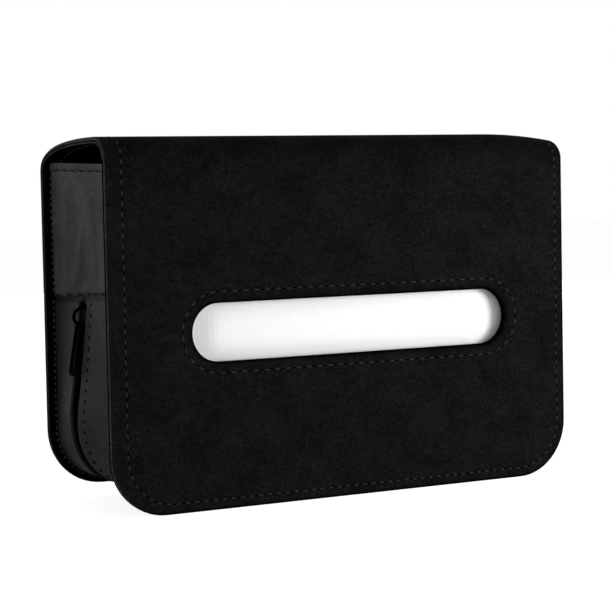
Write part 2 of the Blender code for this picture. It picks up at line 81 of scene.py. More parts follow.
# Stitch lines: how far in from the left, right and lower edges, and round the slot.
BORDER_LEFT = 7.3 * MM
BORDER_RIGHT = 4.1 * MM
BORDER_LOW = 4.1 * MM
SLOT_LENGTH = 151.4 * MM
SLOT_HEIGHT = 23.5 * MM
SLOT_Z = 71.4 * MM
SLOT_X = 2.6 * MM
SLOT_STITCH_RIGHT = 1.2 * MM
SLOT_PITCH = 5.0 * MM
SLOT_BORDER = 4.6 * MM

# The case: its front panel, soft sides and zip.
PANEL_FACE_Y = -28.8 * MM
PANEL_HALF_WIDTH = 107.6 * MM
PANEL_TOP_Z = 140.2 * MM
PANEL_BORDER = 4.2 * MM
PANEL_SLOT_MARGIN = 5 * MM
SIDE_X = 107 * MM
SIDE_FRONT_Y = -25.7 * MM
SIDE_BACK_Y = 28.9 * MM
SIDE_FLOOR_Z = 9 * MM
SIDE_RADIUS = 21 * MM
SIDE_THICKNESS = 0.8 * MM
SEAM_Z = 86 * MM
# Past this depth the soft sides are painted black, as shadow along the back panel.
SIDE_MARGIN_Y = 26.8 * MM
SEAM_RISE = 2.6 * MM
SEAM_REACH = 30 * MM
ZIP_CORNER_S = 46 * MM
ZIP_LOW_SWELL = 1.0 * MM
ZIP_LOW_SHIFT = 0.25 * MM
HEM_BACK_RISE = 0.6 * MM
HEM_FALL = 1.6 * MM
BACK_STITCH_Y = 26.9 * MM
BACK_STITCH_PITCH = 2.6 * MM
BACK_STITCH_LIFT = 0.45 * MM
BACK_THREAD = 0.8 * MM
HEM_STITCH_DROP = 3.1 * MM
ZIP_Y = 2 * MM
ZIP_HALF_WINDOW = 3 * MM
ZIP_NARROWING = 0.8 * MM
ZIP_DRAW = 2.5 * MM
ZIP_SIDE_BULGE = 2.2 * MM
ZIP_FLOOR_BULGE = -1.1 * MM
ZIP_BEND_Z = 45 * MM
BULGE_SOFTNESS = 0.5
TOPSTITCH_INSET = 5.2 * MM
TAPE_NEAR = 0.42 * MM
TAPE_FAR = 6.7 * MM
TAPE_TOP = -1.12 * MM
TAPE_THICKNESS = 0.4 * MM
TOOTH_PITCH = 1.3 * MM
TOOTH_MIDDLE = 0.85 * MM
TOOTH_DEPTH = -2.2 * MM
TEETH_START = 2 * MM

# How the wrap's side profile and its blends across the folds run.
BEND_UP_HANDLE = 4.97 * MM
BEND_BACK_HANDLE = 5.52 * MM
LID_CREST_HANDLE = 38.8 * MM
LID_BACK_HANDLE = 8 * MM
LID_SEAM_REACH = 26 * MM

# The lid's soft corner and the leather's dip at the slot.
DROOP = 2.9 * MM
DROOP_START_X = 74 * MM
DROOP_START_Z = 128 * MM
DROOP_REACH = 45 * MM
DIP = 0.6 * MM
DIP_REACH = 4.2 * MM
DIP_EVEN_SHARE = 0.3
DIP_RIGHT_X = 52 * MM
DIP_RIGHT_REACH = 18 * MM

CORNER_SEGMENTS = 14
STITCH_PITCH = 4.15 * MM
SAME_PLACE = 0.01 * MM

# Light: the even light of the room, and what the floor adds to look white.
AMBIENT = 0.22
FLOOR_GLOW = 0.8
# BLACK is the painted shadow's colour on the soft sides' back margin and on the band's tucked ends.
BLACK = (0.0008, 0.0008, 0.0008, 1)

random.seed(5036)


def smooth(share):
    """Ease from 0 to 1."""
    share = min(max(share, 0.0), 1.0)
    return share * share * (3 - 2 * share)


def ridge(value, place, width):
    """1 at a place, falling off to both sides over a width."""
    return math.exp(-(((value - place) / width) ** 2))


def run_lengths(xs, ys):
    """Distance along a line of points, at each of them."""
    return np.concatenate([[0], np.cumsum(np.hypot(np.diff(xs), np.diff(ys)))])


def wrap_profile():
    """Side view of the wrap's outer face, as points (y, z): flap's hem, lid, back's lower edge."""
    crest = Vector((CREST_Y, TOP_Z, 0))
    flap_top = Vector((FRONT_Y, FLAP_FOLD_Z, 0))
    back_top = Vector((BACK_Y, BACK_FOLD_Z, 0))
    bend = geometry.interpolate_bezier(
        flap_top,
        flap_top + Vector((0, BEND_UP_HANDLE, 0)),
        crest - Vector((BEND_BACK_HANDLE, 0, 0)),
        crest,
        BEND_POINTS,
    )
    rise = geometry.interpolate_bezier(
        crest,
        crest + Vector((LID_CREST_HANDLE, 0, 0)),
        back_top + Vector((0, LID_BACK_HANDLE, 0)),
        back_top,
        RISE_POINTS,
    )
    return [Vector((FRONT_Y, 0, 0))] + bend + rise[1:] + [Vector((BACK_Y, BOX_LIFT, 0))]


PROFILE = np.array([(point.x, point.y) for point in wrap_profile()]).T
PROFILE_S = run_lengths(*PROFILE)
PROFILE_TURN = np.unwrap(np.arctan2(np.diff(PROFILE[1]), np.diff(PROFILE[0])))
TURN_S = (PROFILE_S[1:] + PROFILE_S[:-1]) / 2
TURN_S[0] = FLAP_FOLD_Z
TURN_S[-1] = PROFILE_S[-2]
WRAP_LENGTH = float(PROFILE_S[-1])
CREST_S = float(PROFILE_S[BEND_POINTS + 1])
BACK_FOLD_S = float(PROFILE_S[-2])
SEAM_S = CREST_S + LID_SEAM_REACH


def corner_droop(x, y, z):
    """How far the lid's soft right front corner sags below the rest of its edge."""
    across = (max(x - DROOP_START_X, 0) / (HALF_WIDTH - DROOP_START_X)) ** 2
    back = 1 - smooth((y - CREST_Y) / DROOP_REACH)
    up = smooth((z - DROOP_START_Z) / (TOP_Z - DROOP_START_Z))
    return DROOP * across * back * up


def onto_wrap(co):
    """Bend a point of the flat wrap (across, along, out) onto the holder."""
    y, z = (float(np.interp(co.y, PROFILE_S, row)) for row in PROFILE)
    turn = float(np.interp(co.y, TURN_S, PROFILE_TURN))
    y -= math.sin(turn) * co.z
    z += math.cos(turn) * co.z
    return Vector((co.x, y, z - corner_droop(co.x, y, z)))


def turned(co):
    """The back panel is drawn from its own lower edge up, so its flat drawing turns half way round."""
    return Vector((-co.x, WRAP_LENGTH - co.y, co.z))


def from_slot(co):
    """Distance outside the tissue slot's edge."""
    reach = (SLOT_LENGTH - SLOT_HEIGHT) / 2
    return math.hypot(max(abs(co.x - SLOT_X) - reach, 0), co.y - SLOT_Z) - SLOT_HEIGHT / 2


def slot_dip(co):
    """The flap's leather sinks a little towards the slot, most at the slot's right end."""
    away = from_slot(co)
    if away > DIP_REACH:
        return co
    share = DIP_EVEN_SHARE + (1 - DIP_EVEN_SHARE) * smooth((co.x - DIP_RIGHT_X) / DIP_RIGHT_REACH)
    return Vector((co.x, co.y, co.z - DIP * share * (1 - smooth(away / DIP_REACH))))


def arc_points(centre, radius, start, end, steps=CORNER_SEGMENTS):
    """Points round a centre between two angles in degrees."""
    points = []
    for step in range(steps + 1):
        angle = math.radians(start + (end - start) * step / steps)
        points.append(Vector((centre[0] + radius * math.cos(angle), centre[1] + radius * math.sin(angle))))
    return points


def lower_corners(left, right, low, radius):
    """Points round a rectangle's two lower corners, from its left side to its right side."""
    points = arc_points((left + radius, low + radius), radius, 180, 270)
    return points + arc_points((right - radius, low + radius), radius, 270, 360)


def ring(left, right, low, high, corner, height, low_only=False):
    """A closed loop of points: a rectangle with round corners, all four or only the lower two."""
    points = lower_corners(left, right, low, corner)
    if low_only:
        points += [Vector((right, high)), Vector((left, high))]
    else:
        points += arc_points((right - corner, high - corner), corner, 0, 90)
        points += arc_points((left + corner, high - corner), corner, 90, 180)
    apart = [here for here, last in zip(points, points[-1:] + points) if (here - last).length > SAME_PLACE]
    return [Vector((point.x, point.y, height)) for point in apart]


def slot_ring(margin, height, lift=0.0, beyond=0.0):
    """A loop round the tissue slot, wider than it by a margin all round."""
    radius = SLOT_HEIGHT / 2 + margin
    left = SLOT_X - SLOT_LENGTH / 2 - margin
    right = SLOT_X + SLOT_LENGTH / 2 + margin + beyond
    return ring(left, right, SLOT_Z - radius + lift, SLOT_Z + radius + lift, radius, height)


def edges_of(verts):
    """The edges that meet any of some points."""
    return {edge for vert in verts for edge in vert.link_edges}


def loft(bm, loops):
    """A strip through loops of points, each as many as the first; gives its first and last edges."""
    if not loops:
        return [], []
    verts = bmesh.ops.create_circle(bm, cap_ends=False, segments=len(loops[0]), radius=1)["verts"]
    for vert, point in zip(verts, loops[0]):
        vert.co = point
    first = edges = list(edges_of(verts))
    for loop in loops[1:]:
        made = bmesh.ops.extrude_edge_only(bm, edges=edges)["geom"]
        order = {vert: index for index, vert in enumerate(verts)}
        fresh = [None] * len(verts)
        for vert in (item for item in made if isinstance(item, bmesh.types.BMVert)):
            for edge in vert.link_edges:
                if edge.other_vert(vert) in order:
                    fresh[order[edge.other_vert(vert)]] = vert
        for vert, point in zip(fresh, loop):
            vert.co = point
        verts, kept = fresh, set(fresh)
        edges = list({edge for vert in verts for edge in vert.link_edges if edge.other_vert(vert) in kept})
    return first, edges


def fill(bm, edges):
    """Close the flat area inside a loop, or between two of them."""
    bmesh.ops.triangle_fill(bm, use_beauty=True, use_dissolve=False, edges=edges, normal=(0, 0, 1))


def flat_sheet(outer, inner):
    """A closed flat sheet from the loops round its rim and those round its hole, if it has one."""
    bm = bmesh.new()
    for far, near in zip(loft(bm, outer), loft(bm, inner)):
        fill(bm, far + near)
    bmesh.ops.recalc_face_normals(bm, faces=bm.faces)
    return bm


def rim_rows(low, high, soft):
    """Insets and heights of a sheet's edge: from its lower face round the rim to its upper face."""
    middle = (low + high) / 2
    half = (high - low) / 2
    rows = [(soft * 2.2, low)]
    for degrees in (-90, -60, -30, 0, 30, 60, 90):
        angle = math.radians(degrees)
        side = half - soft
        rise = soft * math.sin(angle) + (side if degrees > 0 else -side if degrees < 0 else 0)
        rows.append((soft * (1 - math.cos(angle)), middle + rise))
    return rows + [(soft * 2.2, high)]


def groove_rows(depth):
    """Insets from a stitch line, with heights: the leather is drawn down along its stitches."""
    steps = ((-2.0, 0), (-1.1, 0.12), (-0.5, 0.6), (0, 1), (0.5, 0.6), (1.1, 0.12), (2.0, 0))
    return [(away * 0.5 * MM, -depth * share) for away, share in steps]


def cut(bm, place, along=(0, 1, 0), **options):
    """Cut a flat sheet across at a place along it."""
    geom = [*bm.verts, *bm.edges, *bm.faces]
    bmesh.ops.bisect_plane(
        bm, geom=geom, plane_co=Vector(along) * place, plane_no=along, dist=0.001 * MM, **options
    )


def cut_rows(bm, places, along=(0, 1, 0)):
    """Cut the whole flat sheet across at each place along it, so that it can bend there."""
    for place in places:
        cut(bm, place, along)


def close_ends(bm):
    """Fill every open loop."""
    bmesh.ops.holes_fill(bm, edges=[edge for edge in bm.edges if edge.is_boundary])


def trim_above(bm, place):
    """Cut a closed sheet off above a place along it, and close its end."""
    cut(bm, place, clear_outer=True)
    close_ends(bm)


def soften(bm, edges, offset, segments):
    """Round some edges."""
    return bmesh.ops.bevel(
        bm, geom=edges, offset=offset, segments=segments, profile=0.5, affect="EDGES", material=-1
    )


def panel_sheet(length, borders, rim, grooves, has_slot):
    """A flat closed sheet with a soft rim, a groove along its stitches, and the tissue slot if it has one.

    borders are the stitch line's insets from the left, right and lower edges. rim and grooves are lists
    of (inset, height); a groove's inset counts from the stitch line.
    """
    left_in, right_in, low_in = borders
    outer = []
    for inset, height in rim:
        half = HALF_WIDTH - inset
        outer.append(ring(-half, half, inset, length - inset, CORNER_RADIUS - inset, height, True))
    for inset, height in grooves:
        left = left_in + inset - HALF_WIDTH
        right = HALF_WIDTH - right_in - inset
        low = low_in + inset
        outer.append(ring(left, right, low, length - low, CORNER_RADIUS - low, height, True))
    inner = []
    if has_slot:
        inner = [slot_ring(inset, height) for inset, height in rim]
        inner += [
            slot_ring(SLOT_BORDER + inset, height, beyond=SLOT_STITCH_RIGHT) for inset, height in grooves
        ]
    return flat_sheet(outer, inner)


def mesh_of(bm, name="shape"):
    """Turn a finished drawing into a mesh."""
    mesh = bpy.data.meshes.new(name)
    bm.to_mesh(mesh)
    bm.free()
    return mesh


def add_object(name, data):
    """Put a mesh, lamp or camera into the scene."""
    made = bpy.data.objects.new(name, data)
    bpy.context.scene.collection.objects.link(made)
    return made


def finish_piece(name, bm, materials, place, before=None, inner=None, shade=None):
    """Remember where each point lay on the flat sheet and how much painted shade it takes, bend the sheet to
    its place, and make the object.
    """
    lay = bm.verts.layers.float_vector.new("lay")
    # The shade attribute holds painted shade: 1 leaves the colour as it is, lower values darken it.
    painted_shade_layer = bm.verts.layers.float.new("shade")
    if inner is not None:
        for face in bm.faces:
            face.material_index = inner(face)
    for vert in bm.verts:
        flat = before(vert.co) if before else vert.co.copy()
        vert[lay] = flat
        vert[painted_shade_layer] = shade(flat) if shade else 1.0
        vert.co = place(flat)
    if bm.calc_volume(signed=True) < 0:
        bmesh.ops.reverse_faces(bm, faces=bm.faces)
    mesh = mesh_of(bm, name)
    for polygon in mesh.polygons:
        polygon.use_smooth = True
    mesh.set_sharp_from_angle(angle=math.radians(50))
    for material in materials:
        mesh.materials.append(material)
    piece = add_object(name, mesh)
    return piece


def border_path(half_width, borders, top):
    """The stitch line of a sheet: down its left side, round its lower edge and up its right side."""
    left_in, right_in, low_in = borders
    left, right = left_in - half_width, half_width - right_in
    corners = lower_corners(left, right, low_in, CORNER_RADIUS - low_in)
    return [Vector((left, top)), *corners, Vector((right, top))]


def slot_path(margin, right=0.0):
    """The stitch line round the tissue slot."""
    radius = SLOT_HEIGHT / 2 + margin
    reach = (SLOT_LENGTH - SLOT_HEIGHT) / 2
    path = arc_points((SLOT_X + reach + right, SLOT_Z), radius, -90, 90, 24)
    path += arc_points((SLOT_X - reach, SLOT_Z), radius, 90, 270, 24)
    return path + [path[0]]


def stamp(bm, mesh, matrix):
    """Add a copy of a small mesh at a place."""
    mesh.transform(matrix)
    bm.from_mesh(mesh, face_normals=False, vertex_normals=False)
    mesh.transform(matrix.inverted())


def thread_mesh(length, width, side):
    """One stitch lying along x: a short thick thread whose ends go down into the sheet."""
    shape = bmesh.new()
    bmesh.ops.create_uvsphere(shape, u_segments=8, v_segments=6, radius=0.5)
    bmesh.ops.rotate(shape, verts=shape.verts, matrix=Matrix.Rotation(math.pi / 2, 3, "Y"))
    bmesh.ops.scale(shape, vec=(length, width, width * 0.62), verts=shape.verts)
    for vert in shape.verts:
        vert.co.z += side * width * (0.2 - 0.9 * (2 * vert.co.x / length) ** 4)
    return mesh_of(shape)


def hole_mesh(length, width):
    """One needle hole, a flat oval of painted shade in the stitches' second material."""
    shape = bmesh.new()
    bmesh.ops.create_uvsphere(shape, u_segments=8, v_segments=4, radius=0.5)
    bmesh.ops.scale(shape, vec=(length, width, 0.12 * MM), verts=shape.verts)
    for face in shape.faces:
        face.material_index = 1
    return mesh_of(shape)


def sew(path, pitch, height, side=1, length_share=0.62, width=0.52 * MM, holes=True):
    """Threads lying on a flat sheet along a path, and between them the needle holes as painted shade, if they
    show.
    """
    bm = bmesh.new()
    lengths = [0.0]
    for near, far in zip(path, path[1:]):
        lengths.append(lengths[-1] + (far - near).length)
    count = max(2, round(lengths[-1] / pitch))
    step = lengths[-1] / count
    xs, ys = [point.x for point in path], [point.y for point in path]

    def at(distance):
        return Vector((np.interp(distance, lengths, xs), np.interp(distance, lengths, ys)))

    thread = thread_mesh(step * length_share, width, side)
    hole = hole_mesh(step * (1 - length_share) * 1.3, width * 1.4)
    for index in range(count):
        for shape, middle in ((thread, step * (index + 0.5)), (hole, step * index))[: 2 if holes else 1]:
            spot = at(middle)
            run = at(min(middle + step / 4, lengths[-1])) - at(max(middle - step / 4, 0))
            angle = math.atan2(run.y, run.x) + random.uniform(-0.05, 0.05)
            turn = Matrix.Rotation(angle, 4, "Z")
            stamp(bm, shape, Matrix.Translation((spot.x, spot.y, height)) @ turn)
    for shape in (thread, hole):
        bpy.data.meshes.remove(shape)
    return bm


def case_path():
    """The zipped band's line from the front: rows of x, z, outward x and z, and the zip's bulge."""
    points = []
    for step in range(29):
        z = SEAM_Z - (SEAM_Z - SIDE_FLOOR_Z - SIDE_RADIUS) * step / 28
        drop = min((SEAM_Z - z) / (SEAM_Z - ZIP_BEND_Z), 1)
        points.append((-SIDE_X, z, -1, 0, (ZIP_DRAW + ZIP_SIDE_BULGE) * drop - ZIP_DRAW))
    centre_x, centre_z = SIDE_RADIUS - SIDE_X, SIDE_FLOOR_Z + SIDE_RADIUS
    for step in range(1, 25):
        angle = math.radians(180 + 90 * step / 24)
        out_x, out_z = math.cos(angle), math.sin(angle)
        bulge = ZIP_SIDE_BULGE + (ZIP_FLOOR_BULGE - ZIP_SIDE_BULGE) * step / 24
        points.append((centre_x + out_x * SIDE_RADIUS, centre_z + out_z * SIDE_RADIUS, out_x, out_z, bulge))
    points += [(-x, z, -out_x, out_z, bulge) for x, z, out_x, out_z, bulge in reversed(points)]
    return np.array(points).T


CASE = case_path()
CASE_S = run_lengths(CASE[0], CASE[1])
CASE_LENGTH = float(CASE_S[-1])


def from_end(s):
    """Distance along the zipped band from its nearer end."""
    return min(s, CASE_LENGTH - s)


def bulge_share(y):
    """Share of the zip's bulge at a depth: whole over the zip, none at the band's two edges."""
    away = abs(y - ZIP_Y) - ZIP_HALF_WINDOW
    edge = SIDE_FRONT_Y if y < ZIP_Y else SIDE_BACK_Y
    share = min(max(1 - away / (abs(edge - ZIP_Y) - ZIP_HALF_WINDOW), 0), 1)
    return share * (1 - BULGE_SOFTNESS) + smooth(share) * BULGE_SOFTNESS


def from_back(y):
    """Share of the way from a side's back edge to its front edge."""
    return min(max((SIDE_BACK_Y - y) / (SIDE_BACK_Y - SIDE_FRONT_Y), 0), 1)


def seam_rise(y):
    """The cross seam climbs a little towards the front."""
    return SEAM_RISE * from_back(y)


def hem_rise(y):
    """The hem falls a little towards the front."""
    return HEM_BACK_RISE - HEM_FALL * from_back(y)


def onto_case(co):
    """Bend a point of the flat zipped band (depth, along, out) round the case."""
    x, z, out_x, out_z, bulge = (float(np.interp(co.y, CASE_S, row)) for row in CASE)
    size = math.hypot(out_x, out_z)
    reach = bulge * bulge_share(co.x) + co.z
    end = from_end(co.y)
    lift = seam_rise(co.x) * (1 - smooth(end / SEAM_REACH))
    leave = (1 - smooth((end - ZIP_CORNER_S) / (18 * MM))) * bulge_share(co.x)
    reach += ZIP_LOW_SWELL * smooth((end - 37 * MM) / (13 * MM)) * leave
    depth = co.x + ZIP_LOW_SHIFT * smooth((end - 24 * MM) / (22 * MM)) * leave
    return Vector((x + out_x / size * reach, depth, z + out_z / size * reach + lift))


def onto_side(side):
    """A function that sets a point of a flat upper side (depth, height, out) on the case's left or right."""

    def place(co):
        share = (co.y - SEAM_Z) / (PANEL_TOP_Z - SEAM_Z)
        lift = seam_rise(co.x) * (1 - share) + hem_rise(co.x) * share
        draw = ZIP_DRAW * bulge_share(co.x) * (1 - smooth(share)) ** 2
        return Vector((side * (SIDE_X - draw + co.z), co.x, co.y + lift))

    return place


def flat_grid(near, far, low, high, columns, rows):
    """A flat grid over a rectangle."""
    bm = bmesh.new()
    verts = bmesh.ops.create_grid(bm, x_segments=columns, y_segments=rows, size=0.5)["verts"]
    bmesh.ops.scale(bm, vec=(far - near, high - low, 1), verts=verts)
    bmesh.ops.translate(bm, vec=((near + far) / 2, (low + high) / 2, 0), verts=verts)
    return bm


def thicken(bm, thickness):
    """Give a flat grid its thickness, below its own face, as one closed sheet."""
    made = bmesh.ops.extrude_face_region(bm, geom=list(bm.faces))
    lower = [item for item in made["geom"] if isinstance(item, bmesh.types.BMVert)]
    bmesh.ops.translate(bm, vec=(0, 0, -thickness), verts=lower)
    bmesh.ops.recalc_face_normals(bm, faces=bm.faces)


def inner_face(face):
    """Second material for faces that look down, on the sheet's inner face."""
    return 1 if face.normal.z < -0.7 and face.calc_center_median().z < 1.0 * MM else 0


def front_rim(face):
    """The flap's turned edge: pale on the left's front corner and under the lid as a painted highlight, black
    elsewhere as painted shade.
    """
    middle = face.calc_center_median()
    if abs(face.normal.z) > 0.75:
        return 0
    left = middle.x < 12 * MM - HALF_WIDTH
    return 1 if left and (middle.z > -RIM_SHOWN or middle.y > FLAP_FOLD_Z) else 2


def rear_rim(face):
    """The back panel's and lid's turned edge is pale, with a dark joint between its two layers."""
    return 1 if abs(face.normal.z) < 0.75 else 0


def from_outline(co):
    """Distance of a place on the flat wrap from its outline, round the lower corners too."""
    across, up = abs(co.x) - HALF_WIDTH + CORNER_RADIUS, CORNER_RADIUS - co.y
    if across > 0 and up > 0:
        return CORNER_RADIUS - math.hypot(across, up)
    return CORNER_RADIUS - max(across, up)


def wrap_shade(co):
    """Painted shade on the flap's leather: over the front bend, beside the slot's right end, along the slot's
    lip and along its right and lower rim.
    """
    right = smooth((co.x - 45 * MM) / (25 * MM))
    away = from_slot(co)
    beside = (0.2 + 0.8 * right) * (1 - smooth(away / (3.6 * MM)))
    lip = 1 - smooth((away - 0.5 * MM) / (0.6 * MM))
    bend = ridge(co.y, 146 * MM, 8 * MM)
    rim = 1 - smooth((from_outline(co) - 0.6 * MM) / (0.5 * MM)) if co.x >= 15 * MM - HALF_WIDTH else 0.0
    return (1 - 0.65 * beside) * (1 - 0.9 * lip) * (1 - 0.3 * bend) * (1 - 0.9 * rim)


def new_material(name, colour, roughness, specular, metallic=0.0):
    """A Principled material, with its nodes at hand."""
    material = bpy.data.materials.new(name)
    material.use_nodes = True
    shader = material.node_tree.nodes["Principled BSDF"]
    shader.inputs["Base Color"].default_value = (*colour, 1)
    shader.inputs["Roughness"].default_value = roughness
    shader.inputs["Metallic"].default_value = metallic
    shader.inputs["Specular IOR Level"].default_value = specular
    return material, shader


def feed(shader, key, value):
    """Link a value to one of a shader's own sockets."""
    shader.id_data.links.new(value, shader.inputs[key])


def node(owner, kind, inputs=(), **settings):
    """Add a node to a material or the world, set it up, and link or fill its inputs."""
    made = owner.node_tree.nodes.new(kind)
    for key, value in settings.items():
        setattr(made, key, value)
    for key, value in dict(inputs).items():
        if isinstance(value, bpy.types.NodeSocket):
            feed(made, key, value)
        else:
            made.inputs[key].default_value = value
    return made


def places(material, flat):
    """Coordinates that follow the flat sheet, or the object's own."""
    if flat:
        return node(material, "ShaderNodeAttribute", attribute_name="lay").outputs["Vector"]
    return node(material, "ShaderNodeTexCoord").outputs["Object"]


def noise_of(material, coords, scale, detail=3.0, rough=0.55):
    """A noise pattern's value."""
    inputs = {"Vector": coords, "Scale": scale, "Detail": detail, "Roughness": rough}
    return node(material, "ShaderNodeTexNoise", inputs).outputs["Fac"]


def ramp(material, value, stops):
    """Map a value through colour stops given as (place, colour)."""
    made = node(material, "ShaderNodeValToRGB", {"Fac": value})
    elements = made.color_ramp.elements
    for index, (position, colour) in enumerate(stops):
        element = elements[index] if index < 2 else elements.new(position)
        element.position = position
        element.color = (*colour, 1)
    return made.outputs["Color"]


def blend_of(material, first, second, share, mode="MIX"):
    """Mix two colours."""
    inputs = {0: share, 6: first, 7: second}
    return node(material, "ShaderNodeMix", inputs, data_type="RGBA", blend_type=mode).outputs[2]


def maths(owner, operation, first, second):
    """One arithmetic node."""
    return node(owner, "ShaderNodeMath", {0: first, 1: second}, operation=operation).outputs[0]


def stretch(owner, value, low, high, to_low, to_high):
    """Map a value's range onto another."""
    inputs = {"Value": value, 1: low, 2: high, 3: to_low, 4: to_high}
    return node(owner, "ShaderNodeMapRange", inputs).outputs["Result"]


def tint(material, shader, value, colour, low, high):
    """Vary a colour with a value: low and high are a place and the colour's share there."""
    stops = [(place, tuple(part * share for part in colour)) for place, share in (low, high)]
    feed(shader, "Base Color", ramp(material, value, stops))


def bump(material, shader, height, distance):
    """Raise the surface by a height pattern."""
    made = node(material, "ShaderNodeBump", {"Height": height, "Distance": distance})
    feed(shader, "Normal", made.outputs["Normal"])


def leather(name, dark, light, clouds, roughness, specular, grain, depth, edge=None, tuck=None):
    """Synthetic leather: cloudy grey, fine speckle and a pebbled grain.

    Painted shadow, if given: it is black beyond an edge across the sheet, where a side meets the back panel,
    and dark along a strip's two ends tucked under the cross seam.
    """
    material, shader = new_material(name, (light,) * 3, roughness, specular)
    coords = places(material, True)

    def times(first, second):
        return maths(material, "MULTIPLY", first, second)

    cloud = noise_of(material, coords, clouds, 5.0, 0.62)
    patch = noise_of(material, coords, clouds * 4.5, 3.0, 0.6)
    speck = noise_of(material, coords, grain * 0.5, 2.0, 0.7)
    mixed = maths(material, "ADD", times(cloud, 0.55), times(patch, 0.45))
    base = ramp(material, mixed, ((0.4, (dark,) * 3), (0.6, (light,) * 3)))
    shade = ramp(material, speck, ((0.3, (0.45,) * 3), (0.7, (1.55,) * 3)))
    colour = blend_of(material, base, shade, 1.0, "MULTIPLY")
    # Painted shade: the piece's shade attribute darkens the colour here, and the specular too where an edge
    # is given.
    painted_shade = node(material, "ShaderNodeAttribute", attribute_name="shade").outputs["Fac"]
    colour = blend_of(material, (0, 0, 0, 1), colour, painted_shade)
    if edge is not None:
        split = node(material, "ShaderNodeSeparateXYZ", {"Vector": coords})
        # Painted shadow: black beyond the edge.
        outside = maths(material, "GREATER_THAN", split.outputs["X"], edge)
        colour = blend_of(material, colour, BLACK, outside)
        kept = times(painted_shade, maths(material, "SUBTRACT", 1.0, outside))
        if tuck is not None:
            # Painted shadow: darker along the strip's two ends under the cross seam.
            far_end = maths(material, "SUBTRACT", CASE_LENGTH, split.outputs["Y"])
            near_end = maths(material, "MINIMUM", split.outputs["Y"], far_end)
            fade = stretch(material, near_end, tuck - 0.4 * MM, tuck + 0.4 * MM, 0.42, 1.0)
            colour = blend_of(material, BLACK, colour, fade)
            kept = times(kept, fade)
        feed(shader, "Specular IOR Level", times(kept, specular))
    feed(shader, "Base Color", colour)
    feed(shader, "Roughness", stretch(material, cloud, 0.3, 0.7, roughness + 0.06, roughness - 0.06))
    cells = node(material, "ShaderNodeTexVoronoi", {"Vector": coords, "Scale": grain}, feature="SMOOTH_F1")
    fine = noise_of(material, coords, grain * 2.2, 2.0, 0.6)
    bump(material, shader, maths(material, "ADD", cells.outputs["Distance"], times(fine, 0.5)), depth)
    return material


def cloth(name, colour, pitch, depth):
    """A plain woven cloth: threads over and under at a pitch."""
    material, shader = new_material(name, colour, 0.85, 0.008)
    coords = places(material, True)
    inputs = {"Vector": coords, "Scale": math.pi / pitch / 10, "Distortion": 0.4, "Detail": 1.0}
    waves = [node(material, "ShaderNodeTexWave", inputs, bands_direction=way) for way in ("X", "Y")]
    weave = maths(material, "MULTIPLY", *(wave.outputs["Fac"] for wave in waves))
    tint(material, shader, weave, colour, (0.0, 0.55), (0.8, 1.35))
    bump(material, shader, weave, depth)
    return material


def speckled(name, colour, roughness, specular, scale, depth, metallic=0.0):
    """A smooth hard or thready finish with slight unevenness."""
    material, shader = new_material(name, colour, roughness, specular, metallic)
    value = noise_of(material, places(material, False), scale)
    tint(material, shader, value, colour, (0.25, 0.75), (0.75, 1.2))
    bump(material, shader, value, depth)
    return material


wrap_leather = leather("wrap_leather", 0.0044, 0.008, 55, 0.75, 0.01, 1500, 0.00012)
# A lighter copy of back_rim_leather: painted highlight on the flap's left rim.
highlit_rim_leather = leather("highlit_rim_leather", 0.017, 0.027, 55, 0.6, 0.06, 1500, 0.00006)
back_rim_leather = leather("back_rim_leather", 0.0065, 0.0115, 55, 0.6, 0.06, 1500, 0.00006)
# A fivefold darker copy of wrap_leather: painted shade on the case's front panel behind the flap, on the
# facing inside the wrap and on the flap's black rim.
painted_shade_leather = leather("painted_shade_leather", 0.0008, 0.0016, 55, 0.75, 0.01, 1500, 0.0001)
# Both get painted shadow past SIDE_MARGIN_Y. band_leather also gets it along its ends under the cross seam.
side_leather = leather("side_leather", 0.015, 0.024, 60, 0.5, 0.1, 1700, 0.00006, SIDE_MARGIN_Y)
band_leather = leather("band_leather", 0.0075, 0.0118, 60, 0.5, 0.1, 1700, 0.00006, SIDE_MARGIN_Y, 3.1 * MM)
lining = cloth("lining_cloth", (0.002, 0.002, 0.0022), 0.5 * MM, 0.00005)
tape_cloth = cloth("zip_tape_cloth", (0.0006, 0.0006, 0.0007), 0.45 * MM, 0.00006)
coil_nylon = speckled("zip_coil_nylon", (0.0008, 0.0008, 0.0009), 0.45, 0.006, 900, 0.00002)
enamel = speckled("black_enamel", (0.0008, 0.0008, 0.0009), 0.3, 0.005, 500, 0.00001)
thread_grey = speckled("grey_thread", (0.022, 0.022, 0.0225), 0.6, 0.1, 3000, 0.00004)
thread_light = speckled("light_thread", (0.04, 0.04, 0.041), 0.6, 0.1, 3000, 0.00004)
thread_black = speckled("black_thread", (0.0012, 0.0012, 0.0012), 0.6, 0.03, 3000, 0.00004)
# Near-black ovals: painted shade in the needle holes.
needle_hole_shade = speckled("needle_hole_shade", (0.001, 0.001, 0.001), 0.9, 0.0, 900, 0.00001)
magnet_steel = speckled("magnet_steel", (0.42, 0.42, 0.43), 0.35, 0.5, 700, 0.00001, metallic=1.0)


def paper_finish():
    """White tissue: soft, matt, with a faint crepe."""
    material, shader = new_material("white_tissue", (0.96, 0.96, 0.957), 0.9, 0.1)
    coords = places(material, False)
    inputs = {"Vector": coords, "Scale": 160, "Distortion": 3.0, "Detail": 3.0}
    crepe = node(material, "ShaderNodeTexWave", inputs)
    soft = noise_of(material, coords, 260, 4.0)
    feed(shader, "Base Color", ramp(material, soft, ((0.2, (0.94, 0.94, 0.937)), (0.8, (0.97, 0.97, 0.968)))))
    bump(material, shader, maths(material, "ADD", crepe.outputs["Fac"], soft), 0.00002)
    return material


paper = paper_finish()


